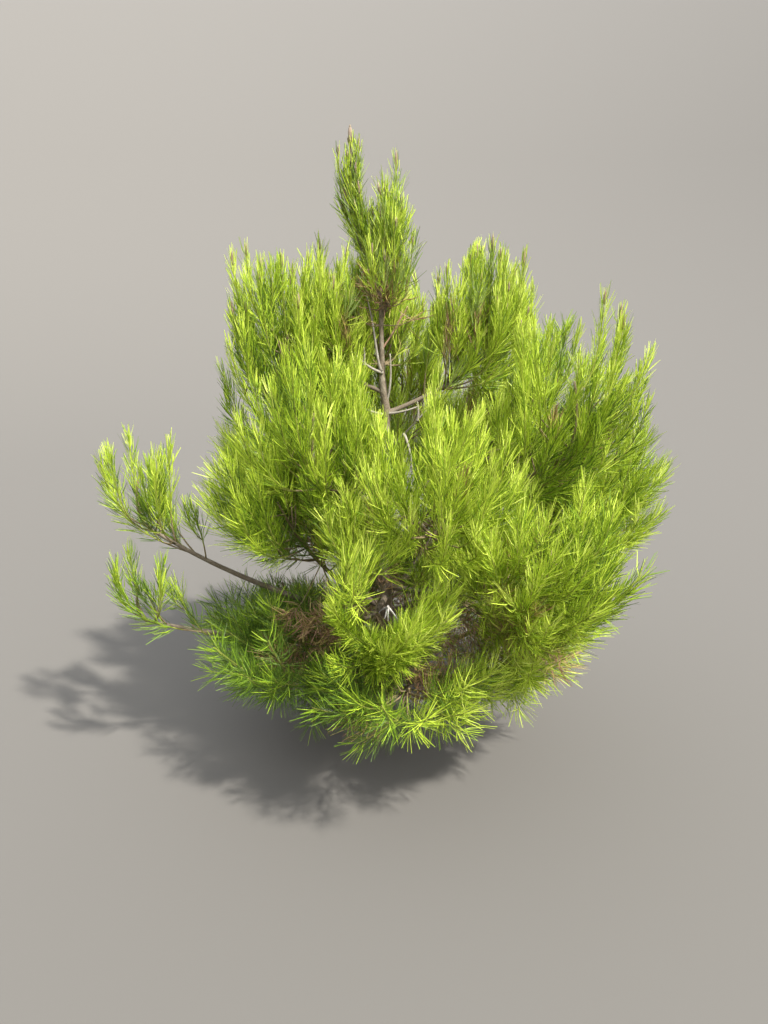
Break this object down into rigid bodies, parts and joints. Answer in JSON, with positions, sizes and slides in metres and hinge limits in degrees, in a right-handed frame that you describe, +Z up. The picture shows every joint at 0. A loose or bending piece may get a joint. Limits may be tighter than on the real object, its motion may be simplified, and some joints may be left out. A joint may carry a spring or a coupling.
{
  "type": "pine tree",
  "caption": "Young bushy pine with a leaning leader, boughs that bend upwards, dense sprays of long soft needles, and two long low boughs on one side.",
  "frame": {"origin": "centre of the flat cut under the trunk at ground level", "axes": "+Z straight up along the trunk, +X to the side with the wider crown, -Y to the front"},
  "size_m": [1.8295, 1.5061, 1.912],
  "materials": {
    "bark": "grey-brown young bark with pale plates and dark cracks",
    "limb": "ash-grey thin bark, slightly scaly",
    "needles": "yellow-green long soft needles with a satin gloss",
    "dead_wood": "bleached dry dead wood, matte"
  },
  "bodies": {
    "root": {"bough_companion": "limb", "bough_inner_1": "limb", "bough_inner_2": "limb", "bough_inner_3": "limb", "bough_left_high": "limb", "bough_left_low": "limb", "bough_middle_1": "limb", "bough_middle_2": "limb", "bough_middle_3": "limb", "bough_middle_4": "limb", "bough_middle_5": "limb", "bough_middle_6": "limb", "bough_middle_7": "limb", "bough_shoulder_1": "limb", "bough_shoulder_2": "limb", "bough_shoulder_3": "limb", "bough_shoulder_4": "limb", "bough_shoulder_5": "limb", "bough_shoulder_6": "limb", "bough_shoulder_7": "limb", "bough_skirt_1": "limb", "bough_skirt_2": "limb", "bough_skirt_3": "limb", "bough_skirt_4": "limb", "bough_skirt_5": "limb", "bough_skirt_6": "limb", "bough_skirt_7": "limb", "dead_snag": "dead_wood", "dead_twig": "dead_wood", "mass_companion": "needles", "mass_inner_1": "needles", "mass_inner_2": "needles", "mass_inner_3": "needles", "mass_leader": "needles", "mass_left_high": "needles", "mass_left_low": "needles", "mass_middle_1": "needles", "mass_middle_2": "needles", "mass_middle_3": "needles", "mass_middle_4": "needles", "mass_middle_5": "needles", "mass_middle_6": "needles", "mass_middle_7": "needles", "mass_shoulder_1": "needles", "mass_shoulder_2": "needles", "mass_shoulder_3": "needles", "mass_shoulder_4": "needles", "mass_shoulder_5": "needles", "mass_shoulder_6": "needles", "mass_shoulder_7": "needles", "mass_skirt_1": "needles", "mass_skirt_2": "needles", "mass_skirt_3": "needles", "mass_skirt_4": "needles", "mass_skirt_5": "needles", "mass_skirt_6": "needles", "mass_skirt_7": "needles", "trunk": "bark"}
  },
  "joints": []
}
